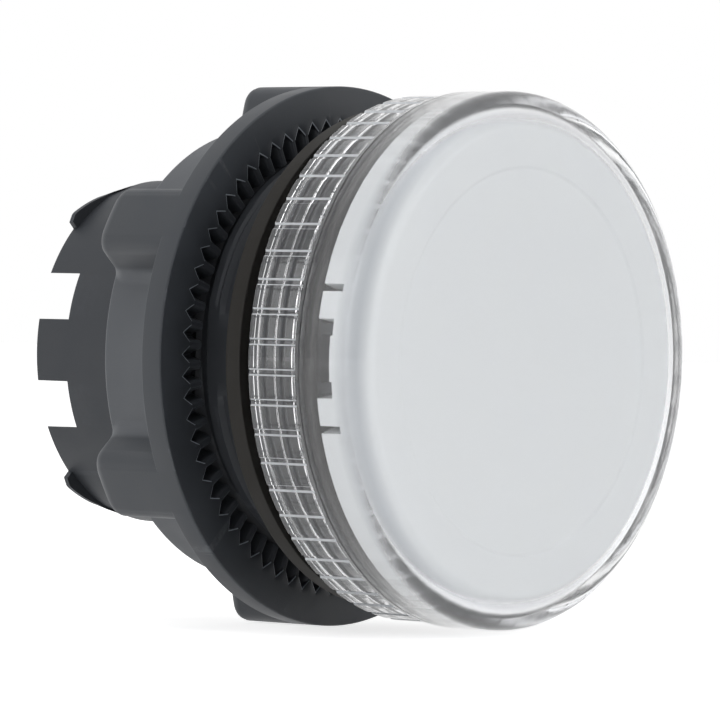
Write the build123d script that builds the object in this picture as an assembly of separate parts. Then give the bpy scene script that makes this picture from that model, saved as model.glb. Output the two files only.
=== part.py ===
from build123d import *
import os
from math import cos, radians, sin, tan

# Panel pilot light head, in millimetres.
# The axis runs along Y: the lens faces -Y, the threaded barrel points to +Y, and +Z is up.
# The origin is on the axis, in the plane where the panel's front meets the panel seal.
# Each piece is drawn standing on Z with its front upwards, and place() turns it at the end.
# Angles around the axis are counted from the -X side, where the barrel's flat is.

# Barrel moulding: flange, neck, shank, thread and crown
THREAD_R = 11.05
THREAD_REACH = 10.2
THREAD_CHAMFER = 0.4
FLAT_HALF_ANGLE = 14.0
SHANK_STEP = 0.25
SHANK_LENGTH = 2.3
SEAL_SEAT_STEP = 0.2
CROWN_STEP = 1.7
CROWN_WALL = 1.15
CROWN_LENGTH = 6.7
CROWN_ROOT_R = 0.4
BORE_CHAMFER = 0.25
FLANGE_INSET = 0.3
FLANGE_THICK = 1.1
NECK_STEP = 0.4
NECK_WALL = 1.6
NECK_PROUD = 0.3
NECK_FLOOR = 0.1
NECK_RIDGE_WIDTH = 0.5

# Notches and beads of the crown
NOTCH_INNER_ANGLE = 10.2
NOTCH_OUTER_ANGLE = 26.3
NOTCH_DEPTH = 2.2
BEAD_FROM_ANGLE = 46.5
BEAD_TO_ANGLE = 63.0
BEAD_RISE = 0.62
BEAD_ROOT = 0.4
BEAD_THICK = 0.3

# Seals
PANEL_SEAL_WIDTH = 2.0
PANEL_SEAL_THICK = 1.1
PANEL_SEAL_ROUND = 0.35
SEAL_BORE_GAP = 0.1
LENS_SEAL_SECTION_R = 0.33
LENS_SEAL_GAP = 0.02

# Clear lens cap
CAP_SEAT_GAP = 0.05
COLLAR_PLAY = 0.8
COLLAR_WALL = 0.85
COLLAR_LENGTH = 3.5
RIB_COUNT = 56
RIB_GROOVE_START = 0.5
RIB_GROOVE_WIDTH = 0.3
RIB_GROOVE_DEPTH = 0.2
BAND_PROUD = 0.2
BAND_LENGTH = 3.85
BAND_GROOVE_DEPTH = 0.35
BAND_GROOVE_WIDTH = 0.25
BAND_GROOVE_EASE = 0.06
CAP_FRONT_WALL = 0.6
CAP_EDGE_ROUND = 1.5
CAP_INNER_ROUND = 0.9
CAP_THREAD_TURNS = 3
CAP_THREAD_START = 0.5
CAP_THREAD_TAIL = 0.7
CAP_THREAD_DEPTH = 0.25
CAP_THREAD_WIDTH = 0.5
CAP_THREAD_PLAY = 0.3

# Opal diffuser
DIFFUSER_SIDE_GAP = 0.1
DIFFUSER_FACE_GAP = 0.1
DIFFUSER_REST_GAP = 0.05
DIFFUSER_WALL = 1.0
DIFFUSER_ROUND = 0.8
DISC_INSET = 2.9
DISC_DEPTH = 0.08
KEY_TAB_ANGLE = 5.0
KEY_TAB_RISE = 0.85
KEY_SLOT_ANGLE = 8.7
KEY_SLOT_DEPTH = 1.15
SIDE_SLOT_FROM_ANGLE = 14.8
SIDE_SLOT_TO_ANGLE = 16.5
KEY_EASE_ANGLE = 0.6
KEY_RISE = 0.75

# Fixing nut
PANEL_GAP = 3.3
NUT_RUNNING_GAP = 0.05
NUT_LENGTH = 6.1
NUT_WALL = 1.0
NUT_RIM_STEP = 2.3
NUT_RIM_THICK = 1.33
NUT_RIM_ROUND = 0.15
LOBE_COUNT = 6
LOBE_REAR_ROUND = 1.3
LOBE_TOP_ANGLE = 7.5
LOBE_FOOT_ANGLE = 11.0
LOBE_CORNER_ROUND = 0.85
LOBE_FOOT_ROUND = 0.9
TOOTH_COUNT = 70
TOOTH_RIM_WIDTH = 1.8
TOOTH_POINT = 0.47
TOOTH_DEPTH = 0.7
TOOTH_CREST_DIP = 0.04

# Heights along the axis, front upwards, from the panel's front face
seal_front = PANEL_SEAL_THICK
flange_front = seal_front + FLANGE_THICK
cap_rear = flange_front + CAP_SEAT_GAP
collar_front = cap_rear + COLLAR_LENGTH
band_rear = collar_front + BAND_GROOVE_WIDTH
cap_front = collar_front + BAND_LENGTH
cap_inner_face = cap_front - CAP_FRONT_WALL
neck_front = collar_front + NECK_PROUD
neck_floor = flange_front + NECK_FLOOR
diffuser_front = cap_inner_face - DIFFUSER_FACE_GAP
diffuser_rear = neck_front + DIFFUSER_REST_GAP
shank_rear = -SHANK_LENGTH
thread_end = -THREAD_REACH
crown_end = thread_end - CROWN_LENGTH
nut_front = -PANEL_GAP
rim_rear = nut_front - NUT_RIM_THICK
nut_rear = nut_front - NUT_LENGTH

# Radii, all worked out from the thread
shank_r = THREAD_R - SHANK_STEP
crown_r = THREAD_R - CROWN_STEP
barrel_bore_r = crown_r - CROWN_WALL
seal_seat_r = shank_r - SEAL_SEAT_STEP
seal_bore_r = shank_r + SEAL_BORE_GAP
panel_seal_r = seal_bore_r + PANEL_SEAL_WIDTH
flange_r = panel_seal_r - FLANGE_INSET
neck_r = flange_r - NECK_STEP
neck_pocket_r = neck_r - NECK_WALL
collar_bore_r = neck_r + COLLAR_PLAY
neck_ridge_r = collar_bore_r - CAP_THREAD_PLAY
collar_r = collar_bore_r + COLLAR_WALL
band_r = collar_r + BAND_PROUD
band_groove_r = collar_r - BAND_GROOVE_DEPTH
diffuser_r = collar_bore_r - DIFFUSER_SIDE_GAP
disc_r = diffuser_r - DISC_INSET
nut_bore_r = THREAD_R + NUT_RUNNING_GAP
nut_hub_r = nut_bore_r + NUT_WALL
nut_rim_r = nut_hub_r + NUT_RIM_STEP
tooth_valley_r = nut_rim_r - TOOTH_RIM_WIDTH
tooth_crest_r = tooth_valley_r - TOOTH_POINT

# How far a cutter runs past the face it cuts, how near counts as equal, and plain turns
PAST = 1.0
NEAR = 1e-3
FULL_TURN = 360.0
HALF_TURN = 180.0
QUARTER_TURN = 90.0


def turned(*points):
    """A solid of revolution about Z through (radius, height) points."""
    outline = Polyline(*[(r, 0, z) for r, z in points], close=True)
    return revolve(make_face(outline), Axis.Z)


def ring(inner_r, outer_r, low, high):
    """A plain ring about Z between two heights."""
    return turned((inner_r, low), (outer_r, low), (outer_r, high), (inner_r, high))


def polar(radius, angle, height=0.0):
    """A point at an angle counted from the -X side, clockwise seen from the front."""
    return (-radius * cos(radians(angle)), radius * sin(radians(angle)), height)


def sector(radius, start, end, low, high):
    """A wedge about Z between two angles, for cutting or keeping a stretch of a ring."""
    reach = radius / cos(radians((end - start) / 2))
    corners = [(0, 0), polar(reach, start)[:2], polar(reach, end)[:2]]
    wedge = make_face(Polyline(*corners, close=True))
    return extrude(Pos(0, 0, low) * wedge, amount=high - low)


def circle_edges(solid, radius, height):
    """The round edges of one radius at one height."""
    edges = solid.edges().filter_by(GeomType.CIRCLE)
    return edges.filter_by(
        lambda e: abs(e.radius - radius) < NEAR and abs(e.arc_center.Z - height) < NEAR
    )


def both_sides(start, end):
    """The same stretch of angle on both sides of the flat, and opposite to it."""
    return [
        (base + low, base + high)
        for base in (0.0, HALF_TURN)
        for low, high in ((start, end), (-end, -start))
    ]


def around(cutter, count, first=0.0):
    """Copies of a cutter spread evenly about Z; first is the share of a step before the first."""
    return [Rot(0, 0, (i + first) * FULL_TURN / count) * cutter for i in range(count)]


def thread_heights():
    """Mid-heights of the thread turns, spread over the length of the cap's collar."""
    first = cap_rear + CAP_THREAD_START
    pitch = (COLLAR_LENGTH - CAP_THREAD_START - CAP_THREAD_TAIL) / (CAP_THREAD_TURNS - 1)
    return [first + i * pitch for i in range(CAP_THREAD_TURNS)]


def bead_outline(side):
    """A catch at the crown's end that stands highest nearest the flat and runs out to nothing."""
    middle = (BEAD_FROM_ANGLE + BEAD_TO_ANGLE) / 2
    start, end = side * BEAD_FROM_ANGLE, side * BEAD_TO_ANGLE
    root_r = crown_r - BEAD_ROOT
    top = polar(crown_r + BEAD_RISE, start)
    back = ThreePointArc(top, polar(crown_r + BEAD_RISE / 2, side * middle), polar(crown_r, end))
    foot = Polyline(polar(crown_r, end), polar(root_r, end), polar(root_r, start), top)
    return make_face([back, *foot.edges()])


def make_barrel():
    """The moulding that holds all: flange, neck for the cap, shank, thread and crown."""
    barrel = turned(
        (barrel_bore_r, crown_end),
        (crown_r, crown_end),
        (crown_r, thread_end),
        (THREAD_R - THREAD_CHAMFER, thread_end),
        (THREAD_R, thread_end + THREAD_CHAMFER),
        (THREAD_R, shank_rear - SHANK_STEP),
        (shank_r, shank_rear),
        (shank_r, 0),
        (seal_seat_r, 0),
        (seal_seat_r, seal_front),
        (flange_r, seal_front),
        (flange_r, flange_front),
        (neck_r, flange_front),
        (neck_r, neck_front),
        (neck_pocket_r, neck_front),
        (neck_pocket_r, neck_floor),
        (barrel_bore_r, neck_floor),
    )
    barrel = fillet(circle_edges(barrel, crown_r, thread_end), CROWN_ROOT_R)
    barrel = chamfer(circle_edges(barrel, barrel_bore_r, crown_end), BORE_CHAMFER)
    for height in thread_heights():
        half = NECK_RIDGE_WIDTH / 2
        tip = half / 2
        barrel += turned(
            (neck_r - tip, height - half),
            (neck_ridge_r, height - tip),
            (neck_ridge_r, height + tip),
            (neck_r - tip, height + half),
        )
    key_from = KEY_TAB_ANGLE + KEY_EASE_ANGLE
    key_to = KEY_SLOT_ANGLE - KEY_EASE_ANGLE
    for start, end in both_sides(key_from, key_to):
        rim = ring(neck_r - DIFFUSER_WALL, neck_r, neck_front - PAST, neck_front + KEY_RISE)
        barrel += rim & sector(neck_r, start, end, neck_front - PAST, neck_front + PAST)
    flat_depth = THREAD_R * cos(radians(FLAT_HALF_ANGLE))
    flat_width = 2 * THREAD_R * sin(radians(FLAT_HALF_ANGLE)) + PAST
    slab = Box(PAST, flat_width, THREAD_REACH, align=(Align.MIN, Align.CENTER, Align.MAX))
    for turn in (0, HALF_TURN):
        barrel -= Rot(0, 0, turn) * Pos(flat_depth, 0, 0) * slab
    for start, end in both_sides(NOTCH_INNER_ANGLE, NOTCH_OUTER_ANGLE):
        barrel -= sector(THREAD_R, start, end, crown_end - PAST, crown_end + NOTCH_DEPTH)
    for turn in (0, HALF_TURN):
        for side in (1, -1):
            bead = extrude(Pos(0, 0, crown_end) * bead_outline(side), amount=BEAD_THICK)
            barrel += Rot(0, 0, turn) * bead
    return barrel


def make_panel_seal():
    """The flat rubber ring that lies between the panel and the flange."""
    seal = ring(seal_bore_r, panel_seal_r, 0, seal_front)
    return fillet(circle_edges(seal, panel_seal_r, 0), PANEL_SEAL_ROUND)


def make_lens_seal():
    """The O-ring at the front of the neck, trapped by the diffuser's skirt."""
    ring_r = neck_r + LENS_SEAL_GAP + LENS_SEAL_SECTION_R
    height = neck_front - LENS_SEAL_GAP - LENS_SEAL_SECTION_R
    return Pos(0, 0, height) * Torus(ring_r, LENS_SEAL_SECTION_R)


def make_lens_cap():
    """The clear cap: ribbed collar, smooth band, rounded edge and flat front."""
    cap = turned(
        (collar_bore_r, cap_rear),
        (collar_r, cap_rear),
        (collar_r, collar_front),
        (band_groove_r, collar_front),
        (band_groove_r, band_rear),
        (band_r, band_rear),
        (band_r, cap_front),
        (0, cap_front),
        (0, cap_inner_face),
        (collar_bore_r, cap_inner_face),
    )
    cap = fillet(circle_edges(cap, band_r, cap_front), CAP_EDGE_ROUND)
    cap = fillet(circle_edges(cap, collar_bore_r, cap_inner_face), CAP_INNER_ROUND)
    cap = fillet(circle_edges(cap, band_r, band_rear), BAND_GROOVE_EASE)
    for height in thread_heights():
        half = CAP_THREAD_WIDTH / 2
        cap -= turned(
            (collar_bore_r - half, height - half * 2),
            (collar_bore_r + CAP_THREAD_DEPTH, height - half / 2),
            (collar_bore_r + CAP_THREAD_DEPTH, height + half / 2),
            (collar_bore_r - half, height + half * 2),
        )
    groove = Box(
        RIB_GROOVE_DEPTH + PAST,
        RIB_GROOVE_WIDTH,
        COLLAR_LENGTH + BAND_GROOVE_WIDTH,
        align=(Align.MIN, Align.CENTER, Align.MIN),
    )
    groove = Pos(collar_r - RIB_GROOVE_DEPTH, 0, cap_rear) * groove
    return cap - around(groove, RIB_COUNT, RIB_GROOVE_START)


def make_diffuser():
    """The opal cup under the cap, with a shallow disc in its face and a keyed skirt."""
    face_back = diffuser_front - DIFFUSER_WALL
    cup = turned(
        (diffuser_r - DIFFUSER_WALL, diffuser_rear),
        (diffuser_r, diffuser_rear),
        (diffuser_r, diffuser_front),
        (0, diffuser_front),
        (0, face_back),
        (diffuser_r - DIFFUSER_WALL, face_back),
    )
    cup = fillet(circle_edges(cup, diffuser_r, diffuser_front), DIFFUSER_ROUND)
    disc_floor = diffuser_front - DISC_DEPTH
    cup -= Pos(0, 0, disc_floor) * Cylinder(
        disc_r, PAST, align=(Align.CENTER, Align.CENTER, Align.MIN)
    )
    low = diffuser_rear - PAST
    for start, end in both_sides(KEY_TAB_ANGLE, KEY_SLOT_ANGLE):
        cup -= sector(diffuser_r, start, end, low, diffuser_rear + KEY_SLOT_DEPTH)
    for start, end in both_sides(0, KEY_TAB_ANGLE):
        cup -= sector(diffuser_r, start, end, low, diffuser_rear + KEY_TAB_RISE)
    for start, end in both_sides(SIDE_SLOT_FROM_ANGLE, SIDE_SLOT_TO_ANGLE):
        cup -= sector(diffuser_r, start, end, low, diffuser_rear + KEY_SLOT_DEPTH)
    return cup


def make_tooth_gap():
    """The V groove between two face teeth, pointed at its outer end and open to the bore."""
    start_r = nut_bore_r - PAST
    slope = tooth_crest_r * tan(radians(HALF_TURN / TOOTH_COUNT)) / (TOOTH_DEPTH - TOOTH_CREST_DIP)
    half = slope * TOOTH_DEPTH
    low, high = nut_front - TOOTH_DEPTH, nut_front + PAST
    plan = Polyline(
        (start_r, -half), (tooth_crest_r, -half), (tooth_valley_r, 0), (tooth_crest_r, half),
        (start_r, half), close=True,
    )
    arrow = extrude(Pos(0, 0, low) * make_face(plan), amount=high - low)
    reach = slope * (high - low)
    section = Polyline((start_r, 0, low), (start_r, reach, high), (start_r, -reach, high), close=True)
    wedge = extrude(make_face(section), amount=tooth_valley_r - start_r, dir=(1, 0, 0))
    return arrow & wedge


def lobe_outline(middle):
    """One grip lobe seen along the axis, from the axis out to the rim's radius."""
    start, end = middle - LOBE_TOP_ANGLE, middle + LOBE_TOP_ANGLE
    first_foot = polar(nut_hub_r, middle - LOBE_FOOT_ANGLE)
    last_foot = polar(nut_hub_r, middle + LOBE_FOOT_ANGLE)
    top = [polar(nut_rim_r, angle) for angle in (start, middle, end)]
    flanks = Polyline(top[-1], last_foot, (0, 0, 0), first_foot, top[0])
    return make_face([ThreePointArc(*top), *flanks.edges()])


def make_lobed_hub():
    """The hub with its grip lobes, flush with the rim and rounded over at the rear."""
    pitch = FULL_TURN / LOBE_COUNT
    section = Circle(nut_hub_r) + [lobe_outline((i + 1 / 2) * pitch) for i in range(LOBE_COUNT)]
    for radius, round_r in ((nut_rim_r, LOBE_CORNER_ROUND), (nut_hub_r, LOBE_FOOT_ROUND)):
        corners = section.vertices().filter_by(
            lambda v: abs(Vector(v.X, v.Y, 0).length - radius) < NEAR
        )
        section = fillet(corners, round_r)
    hub = extrude(Pos(0, 0, nut_rear) * section, amount=rim_rear - nut_rear)
    limit = ring(nut_bore_r - PAST, nut_rim_r, nut_rear, rim_rear)
    return hub & fillet(circle_edges(limit, nut_rim_r, nut_rear), LOBE_REAR_ROUND)


def make_fixing_nut():
    """The nut behind the panel: lobed hub, thin rim and radial teeth on its front."""
    rim = ring(nut_bore_r - PAST, nut_rim_r, rim_rear, nut_front)
    rim = fillet(circle_edges(rim, nut_rim_r, nut_front), NUT_RIM_ROUND)
    bore = ring(0, nut_bore_r, nut_rear - PAST, nut_front + PAST)
    return rim + make_lobed_hub() - bore - around(make_tooth_gap(), TOOTH_COUNT)


def place(solid):
    """Turns a piece from standing on Z to its place along Y, front towards -Y."""
    return Rot(QUARTER_TURN, 0, 0) * solid


pieces = {
    "barrel": make_barrel(),
    "panel_seal": make_panel_seal(),
    "lens_seal": make_lens_seal(),
    "lens_cap": make_lens_cap(),
    "diffuser": make_diffuser(),
    "fixing_nut": make_fixing_nut(),
}

os.makedirs("parts", exist_ok=True)
for name, solid in pieces.items():
    export_step(place(solid), f"parts/{name}.step")
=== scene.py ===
from math import asin, atan2, ceil, copysign, cos, degrees, hypot, pi, radians, sin, sqrt, tan

import bmesh
import bpy
from mathutils import Matrix, Vector


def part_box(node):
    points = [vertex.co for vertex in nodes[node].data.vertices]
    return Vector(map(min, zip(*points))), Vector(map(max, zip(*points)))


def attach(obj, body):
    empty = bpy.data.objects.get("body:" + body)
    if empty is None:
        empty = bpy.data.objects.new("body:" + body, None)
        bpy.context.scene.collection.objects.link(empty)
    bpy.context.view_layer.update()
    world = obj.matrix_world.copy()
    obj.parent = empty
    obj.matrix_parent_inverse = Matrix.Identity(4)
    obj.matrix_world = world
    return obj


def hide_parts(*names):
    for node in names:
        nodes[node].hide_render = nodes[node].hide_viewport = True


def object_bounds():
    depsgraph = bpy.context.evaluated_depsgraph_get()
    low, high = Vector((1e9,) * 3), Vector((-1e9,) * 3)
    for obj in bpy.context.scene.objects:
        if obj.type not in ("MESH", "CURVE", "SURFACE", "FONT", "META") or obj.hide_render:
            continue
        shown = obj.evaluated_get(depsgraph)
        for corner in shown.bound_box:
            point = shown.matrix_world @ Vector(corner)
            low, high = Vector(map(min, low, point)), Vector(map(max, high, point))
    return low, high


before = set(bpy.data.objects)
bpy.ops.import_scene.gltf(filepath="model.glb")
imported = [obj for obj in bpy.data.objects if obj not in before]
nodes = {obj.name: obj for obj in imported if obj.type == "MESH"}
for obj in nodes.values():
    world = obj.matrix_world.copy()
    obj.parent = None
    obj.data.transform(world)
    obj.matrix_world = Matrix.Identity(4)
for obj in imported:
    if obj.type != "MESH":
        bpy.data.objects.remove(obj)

# Panel pilot light head, in metres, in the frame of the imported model.
# Outlines are drawn in millimetres: a distance from the axis and a place along Y.
# The lens faces -Y, +Z is up, and angles are counted from -X, where the barrel's flat is.
MM = 0.001
FULL_TURN = 2 * pi
SAME_PLACE = 1e-8
SHARP_ANGLE = radians(26)
cad_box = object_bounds()


def reach(node):
    """A node's outer radius and its lowest and highest place along Y, in millimetres."""
    low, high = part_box(node)
    return high[2] / MM, low[1] / MM, high[1] / MM


# Shape tools

def rounded(corners, turn_step=radians(10), closed=True):
    """An outline through (x, y, radius) corners, each radius drawn as an arc."""
    outline = []
    for i, (x, y, radius) in enumerate(corners):
        if radius == 0 or (not closed and i in (0, len(corners) - 1)):
            outline.append((x, y))
            continue
        here = Vector((x, y))
        back = (Vector(corners[i - 1][:2]) - here).normalized()
        ahead = (Vector(corners[(i + 1) % len(corners)][:2]) - here).normalized()
        half = back.angle(ahead) / 2
        centre = here + (back + ahead).normalized() * (radius / sin(half))
        start = here + back * (radius / tan(half)) - centre
        end = here + ahead * (radius / tan(half)) - centre
        turn = atan2(start.cross(end), start.dot(end))
        steps = max(2, ceil(abs(turn) / turn_step))
        for k in range(steps + 1):
            a = turn * k / steps
            outline.append((
                centre.x + start.x * cos(a) - start.y * sin(a),
                centre.y + start.x * sin(a) + start.y * cos(a),
            ))
    return outline


def spaced(low, high, step):
    """Evenly spaced values from low to high, both included, about a step apart."""
    count = max(1, round(abs(high - low) / step))
    return [low + (high - low) * i / count for i in range(count + 1)]


def off_middle(angle, turns=2):
    """How many degrees an angle is from the nearest of evenly spread middles."""
    share = FULL_TURN / turns
    return abs(degrees((angle + share / 2) % share - share / 2))


def ease(low, high, value):
    """A soft step from 0 at low to 1 at high."""
    share = min(1.0, max(0.0, (value - low) / (high - low)))
    return share * share * (3 - 2 * share)


def between(table, value):
    """The height of a line drawn through the table's points, level beyond its ends."""
    if value <= table[0][0]:
        return table[0][1]
    for (a, first), (b, second) in zip(table, table[1:]):
        if value <= b:
            return first + (second - first) * (value - a) / (b - a)
    return table[-1][1]


def turned_piece(name, rows, angles, body, node, material, closed=True, trim=None):
    """A piece laid round the axis in rows; a row is a point or a function of the angle.

    A point is a radius and a place along Y, and may add an angle of its own. The trim is a
    second material and a test of a face's row and angle that says where it goes.
    """
    count = len(angles)
    points = []
    for row in rows:
        for angle in angles:
            radius, along, *own = row(angle) if callable(row) else row
            turn = own[0] if own else angle
            points.append((-radius * cos(turn) * MM, along * MM, radius * sin(turn) * MM))
    faces = []
    for j in range(len(rows) if closed else len(rows) - 1):
        this, following = j * count, (j + 1) % len(rows) * count
        for i in range(count):
            k = (i + 1) % count
            faces.append((this + i, this + k, following + k, following + i))
    mesh = bpy.data.meshes.new(name)
    mesh.from_pydata(points, [], faces)
    mesh.materials.append(material)
    if trim:
        trim_material, is_trim = trim
        mesh.materials.append(trim_material)
        for face in mesh.polygons:
            row, column = divmod(face.index, count)
            angle, next_angle = angles[column], angles[(column + 1) % count]
            middle = angle + (next_angle - angle) % FULL_TURN / 2
            face.material_index = int(is_trim(row, middle))
    solid = bmesh.new()
    solid.from_mesh(mesh)
    bmesh.ops.remove_doubles(solid, verts=solid.verts, dist=SAME_PLACE)
    bmesh.ops.dissolve_degenerate(solid, edges=solid.edges, dist=SAME_PLACE)
    bmesh.ops.recalc_face_normals(solid, faces=solid.faces)
    solid.to_mesh(mesh)
    solid.free()
    mesh.shade_smooth()
    mesh.set_sharp_from_angle(angle=SHARP_ANGLE)
    piece = bpy.data.objects.new(name, mesh)
    bpy.context.scene.collection.objects.link(piece)
    piece.modifiers.new("even shading", "WEIGHTED_NORMAL").keep_sharp = True
    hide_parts(node)
    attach(piece, body)
    return piece


# Node tools

def new_group(name, inputs, outputs):
    """An empty shader node group with named sockets, and its input and output nodes."""
    group = bpy.data.node_groups.new(name, "ShaderNodeTree")
    for label, kind, value in inputs:
        socket = group.interface.new_socket(label, in_out="INPUT", socket_type=kind)
        if value is not None:
            socket.default_value = value
    for label, kind in outputs:
        group.interface.new_socket(label, in_out="OUTPUT", socket_type=kind)
    return group, group.nodes.new("NodeGroupInput"), group.nodes.new("NodeGroupOutput")


def add(tree, kind, links=None, **values):
    """A node with its settings and input links; a link is a socket or a plain value."""
    node = tree.nodes.new(kind)
    for key, value in values.items():
        setattr(node, key, value)
    for key, value in (links or {}).items():
        if isinstance(value, bpy.types.NodeSocket):
            tree.links.new(value, node.inputs[key])
        else:
            node.inputs[key].default_value = value
    return node


def place_group(tree, group, **values):
    """One of the shared effects, placed in a material with its own values."""
    node = tree.nodes.new("ShaderNodeGroup")
    node.node_tree = group
    for key, value in values.items():
        socket = node.inputs[key.replace("_", " ")]
        if isinstance(value, bpy.types.NodeSocket):
            tree.links.new(value, socket)
        else:
            socket.default_value = value
    return node


def maths(tree, operation, *values):
    """The result of a sum or product of sockets and plain values."""
    return add(tree, "ShaderNodeMath", dict(enumerate(values)), operation=operation).outputs[0]


def rescaled(tree, value, low, high, new_low=0.0, new_high=1.0):
    """A value moved from one range to another, and kept inside it."""
    return add(tree, "ShaderNodeMapRange",
               {"Value": value, "From Min": low, "From Max": high,
                "To Min": new_low, "To Max": new_high}).outputs[0]


def mixed_colour(tree, share, first, second):
    """The first colour where the share is 0 and the second where it is 1."""
    return add(tree, "ShaderNodeMix", {"Factor": share, 6: first, 7: second},
               data_type="RGBA").outputs[2]


def noise(tree, place, scale, detail, roughness):
    """Soft noise between 0 and 1."""
    return add(tree, "ShaderNodeTexNoise",
               {"Vector": place, "Scale": scale, "Detail": detail,
                "Roughness": roughness}).outputs["Fac"]


def in_millimetres(tree, place):
    """A place in metres, turned into millimetres."""
    return add(tree, "ShaderNodeVectorMath", {0: place, "Scale": 1 / MM},
               operation="SCALE").outputs[0]


def grain_bump(tree, grain, depth):
    """The normal of a surface with its grain, to a depth in millimetres."""
    return add(tree, "ShaderNodeBump",
               {"Height": grain.outputs["Height"], "Strength": 1.0,
                "Distance": depth * MM}).outputs[0]


def moulded_grain():
    """Fine spark-eroded grain of a mould: a height, an uneven roughness and soft patches."""
    group, given, made = new_group(
        "moulded grain",
        [("Position", "NodeSocketVector", None), ("Grain Size", "NodeSocketFloat", 0.12),
         ("Roughness", "NodeSocketFloat", 0.5), ("Spread", "NodeSocketFloat", 0.08)],
        [("Height", "NodeSocketFloat"), ("Roughness", "NodeSocketFloat"),
         ("Patches", "NodeSocketFloat")],
    )
    place = in_millimetres(group, given.outputs["Position"])
    scale = maths(group, "DIVIDE", 1.0, given.outputs["Grain Size"])
    fine = noise(group, place, scale, detail=3.0, roughness=0.6)
    coarse = noise(group, place, 0.45, detail=4.0, roughness=0.55)
    patches = rescaled(group, coarse, 0.3, 0.7)
    swing = maths(group, "MULTIPLY", rescaled(group, patches, 0.0, 1.0, -1.0, 1.0),
                  given.outputs["Spread"])
    rough = maths(group, "ADD", swing, given.outputs["Roughness"])
    group.links.new(fine, made.inputs["Height"])
    group.links.new(rough, made.inputs["Roughness"])
    group.links.new(patches, made.inputs["Patches"])
    return group


def worn_and_highlit_edges():
    """Where corners are paler, partly rubbed wear and partly a painted highlight along convex
    edges: a mask broken up by noise.
    """
    group, given, made = new_group(
        "worn and highlit edges",
        [("Position", "NodeSocketVector", None), ("Pointiness", "NodeSocketFloat", 0.5),
         ("Amount", "NodeSocketFloat", 0.5)],
        [("Mask", "NodeSocketFloat")],
    )
    blotches = noise(group, in_millimetres(group, given.outputs["Position"]), 1.8,
                     detail=5.0, roughness=0.65)
    edge = rescaled(group, given.outputs["Pointiness"], 0.53, 0.62)
    broken = maths(group, "MULTIPLY", edge, rescaled(group, blotches, 0.35, 0.65))
    mask = maths(group, "MULTIPLY", broken, given.outputs["Amount"])
    group.links.new(mask, made.inputs["Mask"])
    return group


def turned_zone():
    """A zone round the axis: 1 nearer than a radius, and 1 in front of a place along Y."""
    group, given, made = new_group(
        "turned zone",
        [("Position", "NodeSocketVector", None), ("Radius", "NodeSocketFloat", 10.0),
         ("Along", "NodeSocketFloat", 0.0), ("Softness", "NodeSocketFloat", 0.05)],
        [("Near Axis", "NodeSocketFloat"), ("In Front", "NodeSocketFloat")],
    )
    place = in_millimetres(group, given.outputs["Position"])
    off_axis = add(group, "ShaderNodeVectorMath", {0: place, 1: (1.0, 0.0, 1.0)},
                   operation="MULTIPLY")
    away = add(group, "ShaderNodeVectorMath", {0: off_axis.outputs[0]}, operation="LENGTH")
    split = add(group, "ShaderNodeSeparateXYZ", {0: place})
    limits = [(away.outputs["Value"], given.outputs["Radius"], "Near Axis"),
              (split.outputs["Y"], given.outputs["Along"], "In Front")]
    for value, limit, label in limits:
        low = maths(group, "SUBTRACT", limit, given.outputs["Softness"])
        high = maths(group, "ADD", limit, given.outputs["Softness"])
        group.links.new(rescaled(group, value, low, high, 1.0, 0.0), made.inputs[label])
    return group


GRAIN = moulded_grain()
WEAR_AND_HIGHLIGHT = worn_and_highlit_edges()
ZONE = turned_zone()


def new_material(name, **shader):
    """A material with a Principled shader whose plain values are set on its own sockets."""
    material = bpy.data.materials.new(name)
    material.use_nodes = True
    tree = material.node_tree
    principled = tree.nodes["Principled BSDF"]
    for key, value in shader.items():
        principled.inputs[key.replace("_", " ")].default_value = value
    return material, tree, principled


def moulded_plastic(name, colour, pale, roughness, grain_size, grain_depth, wear_and_highlight, flow=1.12,
                    gloss=0.5, painted_light_zone=None):
    """Satin moulded plastic: grain, uneven gloss, faint flow tint and paler corners, partly rubbed
    wear and partly painted highlight.

    A painted light zone is a colour painted over the places nearer the axis than a radius and
    behind a place along Y, standing in for the light that falls there.
    """
    material, tree, principled = new_material(name, IOR=1.5, Specular_IOR_Level=gloss)
    place = add(tree, "ShaderNodeTexCoord").outputs["Object"]
    shape = add(tree, "ShaderNodeNewGeometry")
    grain = place_group(tree, GRAIN, Position=place, Grain_Size=grain_size,
                        Roughness=roughness, Spread=0.06)
    edge_marks = place_group(tree, WEAR_AND_HIGHLIGHT, Position=place,
                         Pointiness=shape.outputs["Pointiness"], Amount=wear_and_highlight)
    tinted = [c * flow for c in colour[:3]] + [1]
    tint = mixed_colour(tree, grain.outputs["Patches"], colour, tinted)
    # Painted light: a lighter colour laid over a zone round the axis.
    if painted_light_zone:
        shade, radius, along = painted_light_zone
        zone = place_group(tree, ZONE, Position=place, Radius=radius, Along=along, Softness=0.12)
        behind = maths(tree, "SUBTRACT", 1.0, zone.outputs["In Front"])
        inside = maths(tree, "MULTIPLY", behind, zone.outputs["Near Axis"])
        tint = mixed_colour(tree, inside, tint, shade)
    # Pale corners: partly rubbed wear, partly painted highlight on convex edges.
    pale_edge = mixed_colour(tree, edge_marks.outputs["Mask"], tint, pale)
    tree.links.new(pale_edge, principled.inputs["Base Color"])
    tree.links.new(grain.outputs["Roughness"], principled.inputs["Roughness"])
    tree.links.new(grain_bump(tree, grain, grain_depth), principled.inputs["Normal"])
    return material


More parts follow.
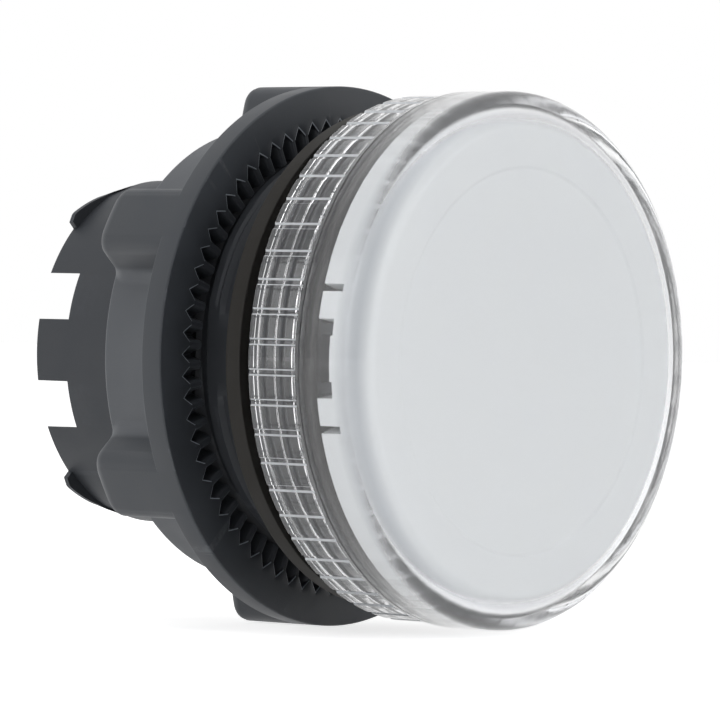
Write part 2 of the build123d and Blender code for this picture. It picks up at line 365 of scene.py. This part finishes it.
def clear_plastic(name, clear, clearer, waves, frost, radius, along,
                  painted_reflection_grey, edge_radius, edge_along):
    """Clear polished moulding with faint waviness, frosted inside a radius in front.

    Its rounded front edge, outside the edge radius and in front of a place along Y, is painted
    greyer: a painted dark reflection.
    """
    material, tree, principled = new_material(name, IOR=1.49, Transmission_Weight=1.0,
                                              Metallic=0.0)
    place = add(tree, "ShaderNodeTexCoord").outputs["Object"]
    grain = place_group(tree, GRAIN, Position=place, Grain_Size=1.6, Roughness=0.03, Spread=0.015)
    zone = place_group(tree, ZONE, Position=place, Radius=radius, Along=along, Softness=0.08)
    inside = maths(tree, "MULTIPLY", zone.outputs["Near Axis"], zone.outputs["In Front"])
    rough = maths(tree, "MULTIPLY_ADD", inside, frost, grain.outputs["Roughness"])
    # Painted dark reflection: the front edge's colour turns grey.
    edge = place_group(tree, ZONE, Position=place, Radius=edge_radius, Along=edge_along,
                       Softness=0.3)
    outside = maths(tree, "SUBTRACT", 1.0, edge.outputs["Near Axis"])
    reflection_zone = maths(tree, "MULTIPLY", outside, edge.outputs["In Front"])
    shade = mixed_colour(tree, grain.outputs["Patches"], clear, clearer)
    tree.links.new(mixed_colour(tree, reflection_zone, shade, painted_reflection_grey), principled.inputs["Base Color"])
    tree.links.new(rough, principled.inputs["Roughness"])
    tree.links.new(grain_bump(tree, grain, waves), principled.inputs["Normal"])
    return material


# Pale colour of corners: partly rubbed wear, partly painted highlight.
WORN_AND_HIGHLIT_GREY = (0.25, 0.27, 0.3, 1)
barrel_plastic = moulded_plastic(
    "barrel plastic", (0.04, 0.044, 0.051, 1), WORN_AND_HIGHLIT_GREY,
    roughness=0.55, grain_size=0.1, grain_depth=0.006, wear_and_highlight=0.1, gloss=0.4)
# The nut's hub between its lobes, and its bore, get a painted lighter tone: a painted highlight
# for the light the hub's valleys catch.
nut_plastic = moulded_plastic(
    "nut plastic", (0.042, 0.047, 0.055, 1), WORN_AND_HIGHLIT_GREY,
    roughness=0.5, grain_size=0.1, grain_depth=0.006, wear_and_highlight=0.25,
    painted_light_zone=((0.1, 0.108, 0.12, 1), 12.75, 4.7))
# Painted highlight: a pale strip along the zigzag edge of the nut's teeth.
painted_highlight_plastic = moulded_plastic(
    "nut edge painted highlight", (0.34, 0.37, 0.41, 1), (0.5, 0.53, 0.58, 1),
    roughness=0.35, grain_size=0.1, grain_depth=0.004, wear_and_highlight=0.6, flow=1.4)
seal_rubber = moulded_plastic(
    "seal rubber", (0.019, 0.0175, 0.0155, 1), (0.06, 0.055, 0.048, 1),
    roughness=0.65, grain_size=0.14, grain_depth=0.008, wear_and_highlight=0.3, gloss=0.25)
ring_rubber = moulded_plastic(
    "ring rubber", (0.02, 0.02, 0.021, 1), (0.05, 0.05, 0.05, 1),
    roughness=0.55, grain_size=0.14, grain_depth=0.006, wear_and_highlight=0.2)
opal_plastic = moulded_plastic(
    "opal plastic", (0.80, 0.82, 0.83, 1), (0.82, 0.84, 0.85, 1),
    roughness=0.4, grain_size=0.3, grain_depth=0.003, wear_and_highlight=0.0, flow=1.01)
# Painted highlight: a pale opaque colour on the collar's groove walls.
groove_highlight_plastic = moulded_plastic(
    "groove wall painted highlight", (0.78, 0.8, 0.83, 1), (0.85, 0.87, 0.9, 1),
    roughness=0.3, grain_size=0.1, grain_depth=0.004, wear_and_highlight=0.3)
# The cap's rounded front edge carries a painted dark reflection.
clear_cap_plastic = clear_plastic(
    "clear cap", (0.965, 0.97, 0.98, 1), (0.975, 0.98, 0.985, 1),
    waves=0.0006, frost=0.18, radius=13.1, along=-5.4,
    painted_reflection_grey=(0.62, 0.635, 0.665, 1), edge_radius=13.25, edge_along=-8.3)


# Pieces

def ribbed_angles(count, edge_steps, rib_step=radians(1.2)):
    """Angles round a ribbed collar: close together at each groove, wide apart on each rib."""
    pitch = FULL_TURN / count
    steps = [-radians(d) for d in reversed(edge_steps)] + [radians(d) for d in edge_steps]
    angles = []
    for i in range(count):
        middle = (i + 0.5) * pitch
        angles += [middle + d for d in steps]
        angles += spaced(middle + steps[-1], middle + pitch + steps[0], rib_step)[1:-1]
    return [a % FULL_TURN for a in angles]


CAP_THREAD_TURNS = 3
CAP_THREAD_PITCH = 1.15


def make_clear_cap():
    """The clear cap: ribbed collar with a thread inside, smooth band, rounded edge, flat front."""
    band_r, front, rear = reach("lens_cap")
    collar_r, bore_r = band_r - 0.2, band_r - 1.05
    collar_front, gap = rear - 3.1, 0.2
    gap_r, inner_front = collar_r - 0.3, front + 0.6
    thread_r, thread_rear, groove_half, floor_half = bore_r + 0.25, rear - 0.5, 0.31, 0.125
    ribs, rib_depth = 56, 0.1
    wall = [(0.0, 1.0), (0.44, 1.0), (0.78, 0.0)]

    def rib_cut(angle):
        """How deep the collar's groove is at an angle: a flat floor between sloping walls."""
        pitch = 360 / ribs
        return rib_depth * between(wall, abs(degrees(angle) % pitch - pitch / 2))

    thread = []
    for turn in range(CAP_THREAD_TURNS):
        middle = thread_rear - turn * CAP_THREAD_PITCH
        thread += [(bore_r, middle + groove_half, 0.03), (thread_r, middle + floor_half, 0.04),
                   (thread_r, middle - floor_half, 0.04), (bore_r, middle - groove_half, 0.03)]
    outline = rounded([
        (0, front, 0), (band_r, front, 1.5), (band_r, collar_front - gap, 0.06),
        (gap_r, collar_front - gap, 0.04), (gap_r, collar_front, 0.04),
        (collar_r, collar_front, 0.04), (collar_r, rear, 0.06), (bore_r, rear, 0.1), *thread,
        (bore_r, inner_front, 0.9), (0, inner_front, 0),
    ], radians(7), closed=False)

    def row(radius, along):
        """A ring of the outline, with the grooves let into it where it is on the collar."""
        if radius < collar_r - rib_depth or along < collar_front - 0.01:
            return radius, along
        return lambda angle: (min(radius, collar_r - rib_cut(angle)), along)

    rows = [row(*point) for point in outline]
    ribbed = [j for j in range(len(rows) - 1) if callable(rows[j]) and callable(rows[j + 1])]

    def groove_wall(j, angle):
        """The sloping walls of the grooves, painted pale: a painted highlight for the bright lines
        along the grooves.
        """
        off = off_middle(angle + pi / ribs, ribs)
        return j in ribbed and wall[1][0] < off < wall[2][0]

    turned_piece("clear_cap", rows, ribbed_angles(ribs, [degree for degree, _ in wall[1:]]),
                 "cap", "lens_cap", clear_cap_plastic, closed=False,
                 trim=(groove_highlight_plastic, groove_wall))


def apart(angles, least):
    """The angles in order, without those that nearly repeat the one before."""
    kept = []
    for angle in sorted(a % FULL_TURN for a in angles):
        if not kept or angle - kept[-1] > least:
            kept.append(angle)
    return kept


def with_steps(angles, edges):
    """Angles with a pair close to each side of every edge, so that steps stay upright."""
    close = radians(0.02)
    extra = [edge + side * close for edge in edges for side in (-1, 1)]
    kept = [a for a in angles if all(abs(a - e) > 2 * close for e in edges)]
    return sorted(a % FULL_TURN for a in kept + extra)


def mirrored(*degree_edges):
    """Edges at the same angles on both sides of both flats."""
    return [radians(base + side * d) % FULL_TURN
            for base in (0, 180) for side in (-1, 1) for d in degree_edges]


def make_opal_cup():
    """The opal cup under the cap, with a rounded edge, a faint disc and a keyed skirt."""
    outer_r, front, rear = reach("diffuser")
    inner_r, inner_front, slots_front = outer_r - 1.0, front + 1.0, rear - 1.6
    disc_r, disc_front = 10.0, front + 0.08
    key_side, key_slot, slot_from, slot_to = 5.0, 8.7, 14.8, 16.5

    def skirt_end(angle):
        """Where the skirt ends along Y: drawn in at the key, and slotted beside it."""
        off = off_middle(angle)
        if off < key_side:
            return rear - 1.15
        if off < key_slot:
            return rear - 1.3
        return rear - (1.5 if slot_from < off < slot_to else 0.3)

    face = rounded([
        (0, disc_front, 0), (disc_r, disc_front, 0.12), (disc_r + 0.15, front, 0.12),
        (outer_r, front, 0.8), (outer_r, slots_front, 0),
    ], radians(7), closed=False)
    inside = rounded([
        (inner_r, slots_front, 0), (inner_r, inner_front, 0.4), (0, inner_front, 0),
    ], radians(15), closed=False)
    rows = [*face, lambda a: (outer_r, skirt_end(a)), lambda a: (inner_r, skirt_end(a)), *inside]
    angles = with_steps(spaced(0, FULL_TURN, radians(1))[:-1],
                        mirrored(key_side, key_slot, slot_from, slot_to))
    turned_piece("opal_cup", rows, angles, "cap", "diffuser", opal_plastic,
                 closed=False)


def thread_depth(along, angle, pitch):
    """The share of full depth of a rounded helical thread at a place on its cylinder."""
    return min(1.0, max(0.0, 0.5 - 0.85 * cos(FULL_TURN * along / pitch - angle)))


THREAD_PITCH = 1.5
THREAD_ROW = 0.08
FLAT_HALF_ANGLE = radians(14)


def make_barrel():
    """The barrel: crown with notches and catches, thread with two flats, flange and neck."""
    crown_r, thread_r, bore_r, shank_r, seat_r = 9.35, 11.05, 8.2, 10.8, 10.6
    flange_r, neck_r, neck_ridge_r, neck_inner_r, pocket_r = 12.6, 12.2, 12.7, 11.2, 10.6
    end, thread_end, thread_start = 16.9, 10.2, 2.55
    flange_rear, neck_rear, neck_front, pocket_floor = -1.1, -2.2, -6.05, -2.3
    notch_floor, catch_front = end - 2.2, end - 0.3
    notch_from, notch_to, catch_from, key_from, key_to = 10.2, 26.3, 44.6, 5.6, 8.1
    catch_rise = [(catch_from, 0.5), (47.3, 0.68), (55.5, 0.4), (62.3, 0.16), (75, 0.0)]
    thread_height, thread_chamfer, thread_fade = 0.55, 0.4, 0.5
    end_drop, end_chamfer, bore_chamfer, key_length = 0.5, 0.05, 0.25, 0.75
    ridge_rear, ridge_half, crest_half = neck_rear - 0.55, 0.25, 0.125
    flat = thread_r * cos(FLAT_HALF_ANGLE)

    def on_flat(row):
        """A row cut back to the flats."""
        def cut(angle):
            radius, along = row(angle) if callable(row) else row
            off = radians(off_middle(angle))
            return (min(radius, flat / cos(off)) if off < FLAT_HALF_ANGLE else radius), along
        return cut

    def threaded(along):
        """A row of the thread at its place, fading out at both ends."""
        from_end = min(thread_end - thread_chamfer - along, along - thread_start)
        depth = thread_height * min(1.0, from_end / thread_fade)
        return on_flat(lambda a: (thread_r - depth * thread_depth(along, a, THREAD_PITCH), along))

    def crown_end(angle, inset=0.0):
        """Where the crown ends along Y: its full length, or the floor of a notch."""
        off = off_middle(angle)
        if notch_from < off < notch_to:
            return notch_floor
        return end - inset - end_drop * ease(60, 70, off)

    def catch(angle):
        """How far the catch stands out at an angle: steep at one end, and a long ramp."""
        off = off_middle(angle)
        return 0.0 if off < catch_from else between(catch_rise, off)

    def upright(angle, radius):
        """The angle at another radius that keeps the walls of the notches parallel."""
        off = (angle + pi / 2) % pi - pi / 2
        edge = radians(notch_to)
        moved = asin(crown_r * sin(min(abs(off), edge)) / radius)
        beyond = max(0.0, abs(off) - edge) / (pi / 2 - edge)
        return angle - off + copysign(moved + (pi / 2 - moved) * beyond, off)

    def key_front(angle):
        """The front of the neck, with the keys that fill the slots of the opal cup."""
        return neck_front - (key_length if key_from < off_middle(angle) < key_to else 0.0)

    ridges = []
    for turn in range(CAP_THREAD_TURNS):
        middle = ridge_rear - turn * CAP_THREAD_PITCH
        ridges += [(neck_r, middle + ridge_half, 0.03), (neck_ridge_r, middle + crest_half, 0.05),
                   (neck_ridge_r, middle - crest_half, 0.05), (neck_r, middle - ridge_half, 0.03)]
    front_part = rounded([
        (shank_r, 0.2, 0), (shank_r, 0, 0), (seat_r, 0, 0), (seat_r, flange_rear, 0),
        (flange_r, flange_rear, 0.1), (flange_r, neck_rear, 0.12), (neck_r, neck_rear, 0.08),
        *ridges, (neck_r, neck_front + 0.1, 0),
    ], radians(18), closed=False)
    collar_part = rounded([
        (crown_r, thread_end + 1.0, 0), (crown_r, thread_end, 0.4),
        (thread_r - thread_chamfer, thread_end, 0.06),
        (thread_r, thread_end - thread_chamfer, 0.06),
        (thread_r, thread_end - thread_fade, 0),
    ], radians(12), closed=False)
    rows = [
        lambda a: (bore_r + bore_chamfer, crown_end(a), upright(a, bore_r + bore_chamfer)),
        lambda a: (crown_r + catch(a) - end_chamfer, crown_end(a)),
        lambda a: (crown_r + catch(a), crown_end(a, end_chamfer)),
        lambda a: (crown_r + catch(a), min(catch_front, crown_end(a))),
        lambda a: (crown_r, min(catch_front, crown_end(a))),
        (crown_r, notch_floor),
        *[on_flat(point) if point[0] > crown_r + 0.5 else point for point in collar_part],
        *[threaded(along) for along in spaced(thread_end - 0.55, thread_start, THREAD_ROW)],
        on_flat((shank_r, thread_start - (thread_r - shank_r))),
        *[on_flat(point) if point[1] >= 0 else point for point in front_part],
        lambda a: (neck_r, key_front(a)),
        lambda a: (neck_inner_r, key_front(a)),
        (neck_inner_r, neck_front), (pocket_r, neck_front), (pocket_r, pocket_floor),
        (bore_r, pocket_floor), (bore_r, notch_floor - 2.0),
        lambda a: (bore_r, notch_floor - bore_chamfer, upright(a, bore_r)),
        lambda a: (bore_r, crown_end(a) - bore_chamfer, upright(a, bore_r)),
    ]
    angles = with_steps(spaced(0, FULL_TURN, radians(1))[:-1],
                        mirrored(key_from, key_to, notch_from, notch_to, catch_from))
    turned_piece("threaded_barrel", rows, angles, "head", "barrel",
                 barrel_plastic)


def make_panel_seal():
    """The flat rubber ring, with its rear edge rounded over."""
    outer_r, front, rear = reach("panel_seal")
    bore_r, lip_r = outer_r - 2.0, outer_r + 0.3
    outline = rounded([
        (lip_r, front, 0.06), (lip_r, rear, 0.3), (bore_r, rear, 0.05), (bore_r, front, 0.05),
    ], radians(12))
    turned_piece("rubber_seal", outline, spaced(0, FULL_TURN, radians(1.25))[:-1],
                 "head", "panel_seal", seal_rubber)


def lobe_profile(hub_r, rim_r):
    """Distances from the axis over one lobe, as (degrees from its middle, radius) points."""
    top, foot, past = radians(7.5), radians(11.0), radians(20.0)
    outline = rounded([
        (0, rim_r, 0),
        (rim_r * sin(top), rim_r * cos(top), 0.85),
        (hub_r * sin(foot), hub_r * cos(foot), 0.9),
        (hub_r * sin(past), hub_r * cos(past), 0),
    ], radians(9), closed=False)
    points = [(degrees(atan2(x, y)), hypot(x, y)) for x, y in outline]
    crown = [(d, rim_r) for d in spaced(0, points[1][0], 1.0)]
    return crown + points[2:-1]


def make_nut():
    """The fixing nut: six lobes on a hub, a thin rim, and a ring of radial teeth in front."""
    rim_r, front, rear = reach("fixing_nut")
    hub_r, bore_r, rim_rear = rim_r - 2.3, 11.1, front + 1.33
    bore_rear, bore_front, thread_height, thread_fade = rear - 0.3, front + 0.9, 0.4, 0.4
    teeth, crest_r, valley_r, edge_r, crest = 70, 12.08, 12.65, 12.9, 0.82
    crest_drop, tooth_depth, lip_drop, lip_width = 0.08, 0.72, 0.025, 0.085
    rear_round, hub_round, rim_round, foot_rise = 0.95, 0.2, 0.12, 0.03
    lobes, lobe_pitch = 6, 60.0
    profile = lobe_profile(hub_r, rim_r)

    def lobed(angle, cut=0.0):
        """The hub's or a lobe's distance from the axis, with the lobe drawn in by a cut."""
        off = abs(degrees(angle) % lobe_pitch - lobe_pitch / 2)
        height = between(profile, off + degrees(cut / rim_r)) - hub_r
        return hub_r + max(0.0, height) * (1 - cut / (rim_r - hub_r))

    def lobed_side(along):
        """A row of the lobed side, rounded over towards the rear face."""
        into_hub = max(0.0, along - (rear - hub_round))
        into_lobe = max(0.0, along - (rear - rear_round))
        hub_cut = hub_round - sqrt(max(0.0, hub_round ** 2 - into_hub ** 2))
        lobe_cut = rear_round - sqrt(max(0.0, rear_round ** 2 - into_lobe ** 2))
        return lambda angle: (lobed(angle, lobe_cut) - hub_cut, along)

    def from_gap(angle):
        """0 in the middle of a gap between two teeth and 1 on the middle of a tooth."""
        return off_middle(angle, teeth) / (180 / teeth)

    def gap_end(angle):
        """The pointed outer end of a gap, on a zigzag with short flats at the teeth."""
        return between([(0, valley_r), (crest, crest_r)], from_gap(angle))

    def foot(angle, size):
        """A small round between the rim's rear and the hub or the side of a lobe."""
        room = min(1.0, max(0.0, (rim_r - rim_round - lobed(angle)) / 0.3))
        return lobed(angle) + size * room

    def rim_row(radius, along):
        """A row of the rim: plain in front, and at least as wide as the lobes at its rear."""
        if along < (front + rim_rear) / 2:
            return radius, along
        return lambda angle: (max(radius, lobed(angle)), along)

    def threaded(along):
        """A row of the thread in the bore, fading in from the rear."""
        depth = thread_height * min(1.0, (bore_rear - along) / thread_fade)
        return lambda angle: (bore_r + depth * thread_depth(along, angle, THREAD_PITCH), along)

    def pale_edge(j, angle):
        """The painted highlight line along the zigzag, which stops short on each tooth."""
        return j == len(rows) - 2 and from_gap(angle) < crest

    def flank(angle):
        """How deep the teeth lie: a rounded gap between level teeth."""
        return front + crest_drop + tooth_depth * (1 - ease(0.1, 0.72, from_gap(angle)))

    rim = rounded([
        (edge_r, front, 0), (rim_r, front, 0.1), (rim_r, rim_rear, rim_round),
        (hub_r + 1.6, rim_rear, 0),
    ], radians(15), closed=False)[:-1]
    rim.insert(1, (rim_r - 0.2, front))
    rear_rows = [rear - rear_round + rear_round * sin(a) for a in spaced(0, pi / 2, radians(9))]
    hub_rows = [rear - hub_round + hub_round * sin(a) for a in spaced(0, pi / 2, radians(18))[:-1]]
    side_rows = sorted({round(v, 4) for v in (rim_rear + rim_round, *rear_rows, *hub_rows)})
    thread_rows = spaced(bore_rear - 0.05, bore_front + 0.1, 0.15)
    rows = [
        *[rim_row(radius, along) for radius, along in rim],
        lambda a: (foot(a, 0.1), rim_rear),
        lambda a: (foot(a, foot_rise), rim_rear + foot_rise),
        *[lobed_side(along) for along in side_rows],
        (bore_r + 0.3, rear), (bore_r, bore_rear),
        *[threaded(along) for along in thread_rows],
        (bore_r, bore_front),
        lambda a: (bore_r, flank(a) + 0.05),
        lambda a: (bore_r + 0.05, flank(a)),
        lambda a: (gap_end(a) - 0.02, flank(a)),
        # The strip between these two rows carries the painted highlight.
        lambda a: (gap_end(a), front + lip_drop),
        lambda a: (gap_end(a) + lip_width, front),
    ]
    tooth_steps = [side * share / 2 for share in (0, 0.12, 0.3, 0.45, 0.6, crest)
                   for side in (-1, 1)] + [0.5]
    tooth_angles = [(i + step) * FULL_TURN / teeth for i in range(teeth) for step in tooth_steps]
    lobe_angles = [radians((i + 0.5) * lobe_pitch + side * d)
                   for i in range(lobes) for side in (-1, 1) for d, _ in profile]
    angles = apart(tooth_angles + lobe_angles, radians(0.06))
    turned_piece("lobed_nut", rows, angles, "nut", "fixing_nut", nut_plastic,
                 trim=(painted_highlight_plastic, pale_edge))


make_clear_cap()
make_opal_cup()
make_barrel()
make_panel_seal()
make_nut()
nodes["lens_seal"].data.materials.clear()
nodes["lens_seal"].data.materials.append(ring_rubber)


# Stage

def soft_light(name, centre, size, power):
    """A square area light at a point, turned towards the object."""
    lamp = bpy.data.lights.new(name, "AREA")
    lamp.size = size
    lamp.energy = power
    holder = bpy.data.objects.new(name, lamp)
    bpy.context.scene.collection.objects.link(holder)
    holder.location = centre
    holder.rotation_mode = "QUATERNION"
    holder.rotation_quaternion = (-Vector(centre)).to_track_quat("-Z", "Y")
    holder.visible_glossy = False


def seen_directly(tree):
    """1 for what the camera, gloss and glass see, and 0 for light that falls on the object."""
    path = add(tree, "ShaderNodeLightPath")
    seen = maths(tree, "MAXIMUM", path.outputs["Is Camera Ray"], path.outputs["Is Glossy Ray"])
    return maths(tree, "MAXIMUM", seen, path.outputs["Is Transmission Ray"])


def make_world(ambient, dim_side, dim_share):
    """White for what is seen directly, and softer light on the object, dimmed on one side."""
    world = bpy.data.worlds.new("studio")
    bpy.context.scene.world = world
    world.use_nodes = True
    tree = world.node_tree
    background = tree.nodes["Background"]
    sky = add(tree, "ShaderNodeTexCoord")
    facing = add(tree, "ShaderNodeVectorMath",
                 {0: sky.outputs["Generated"], 1: Vector(dim_side).normalized()},
                 operation="DOT_PRODUCT")
    light = rescaled(tree, facing.outputs["Value"], -0.3, 1.0, ambient, ambient * (1 - dim_share))
    strength = add(tree, "ShaderNodeMix", {0: seen_directly(tree), 2: light, 3: 1.0},
                   data_type="FLOAT")
    background.inputs["Color"].default_value = (1, 1, 1, 1)
    tree.links.new(strength.outputs[0], background.inputs["Strength"])


def make_floor(glow):
    """A wide pale floor under the lowest point, which keeps the object's shadow."""
    half, clearance = 1.5, 0.05 * MM
    z = cad_box[0].z - clearance
    mesh = bpy.data.meshes.new("floor")
    mesh.from_pydata([(-half, -half, z), (half, -half, z), (half, half, z), (-half, half, z)],
                     [], [(0, 1, 2, 3)])
    floor = bpy.data.objects.new("floor", mesh)
    bpy.context.scene.collection.objects.link(floor)
    material, tree, principled = new_material("floor", Roughness=0.9)
    principled.inputs["Base Color"].default_value = (0.85, 0.85, 0.85, 1)
    principled.inputs["Emission Color"].default_value = (1, 1, 1, 1)
    tree.links.new(maths(tree, "MULTIPLY", seen_directly(tree), glow),
                   principled.inputs["Emission Strength"])
    mesh.materials.append(material)


def make_camera():
    """A long lens at the photograph's angle, aimed at the middle of its frame."""
    azimuth, elevation, roll = radians(-50.0), radians(0.46), radians(1.26)
    distance, lens = 293.6 * MM, 277.0
    back = Vector((sin(azimuth) * cos(elevation), -cos(azimuth) * cos(elevation), sin(elevation)))
    right = Vector((cos(azimuth), sin(azimuth), 0))
    up = back.cross(right)
    right, up = right * cos(roll) + up * sin(roll), up * cos(roll) - right * sin(roll)
    place = back * distance
    aim = (right * -1.551 + up * -0.122) * MM
    back = (place - aim).normalized()
    right = up.cross(back).normalized()
    up = back.cross(right)
    data = bpy.data.cameras.new("camera")
    data.lens, data.sensor_width = lens, 36.0
    data.clip_start, data.clip_end = 0.01, 10.0
    camera = bpy.data.objects.new("camera", data)
    bpy.context.scene.collection.objects.link(camera)
    turn = Matrix((right, up, back)).transposed().to_4x4()
    camera.matrix_world = Matrix.Translation(place) @ turn
    bpy.context.scene.camera = camera


make_world(ambient=0.45, dim_side=(-0.77, -0.64, 0.0), dim_share=0.85)
make_floor(glow=0.75)
make_camera()
soft_light("top light", (-0.1, 0.0, 0.4), 0.35, 0.5)
soft_light("front light", (0.12, -0.45, 0.1), 0.5, 1.1)
soft_light("rear light", (-0.3, 0.3, 0.1), 0.3, 0.5)
bpy.context.scene.view_settings.view_transform = "Standard"
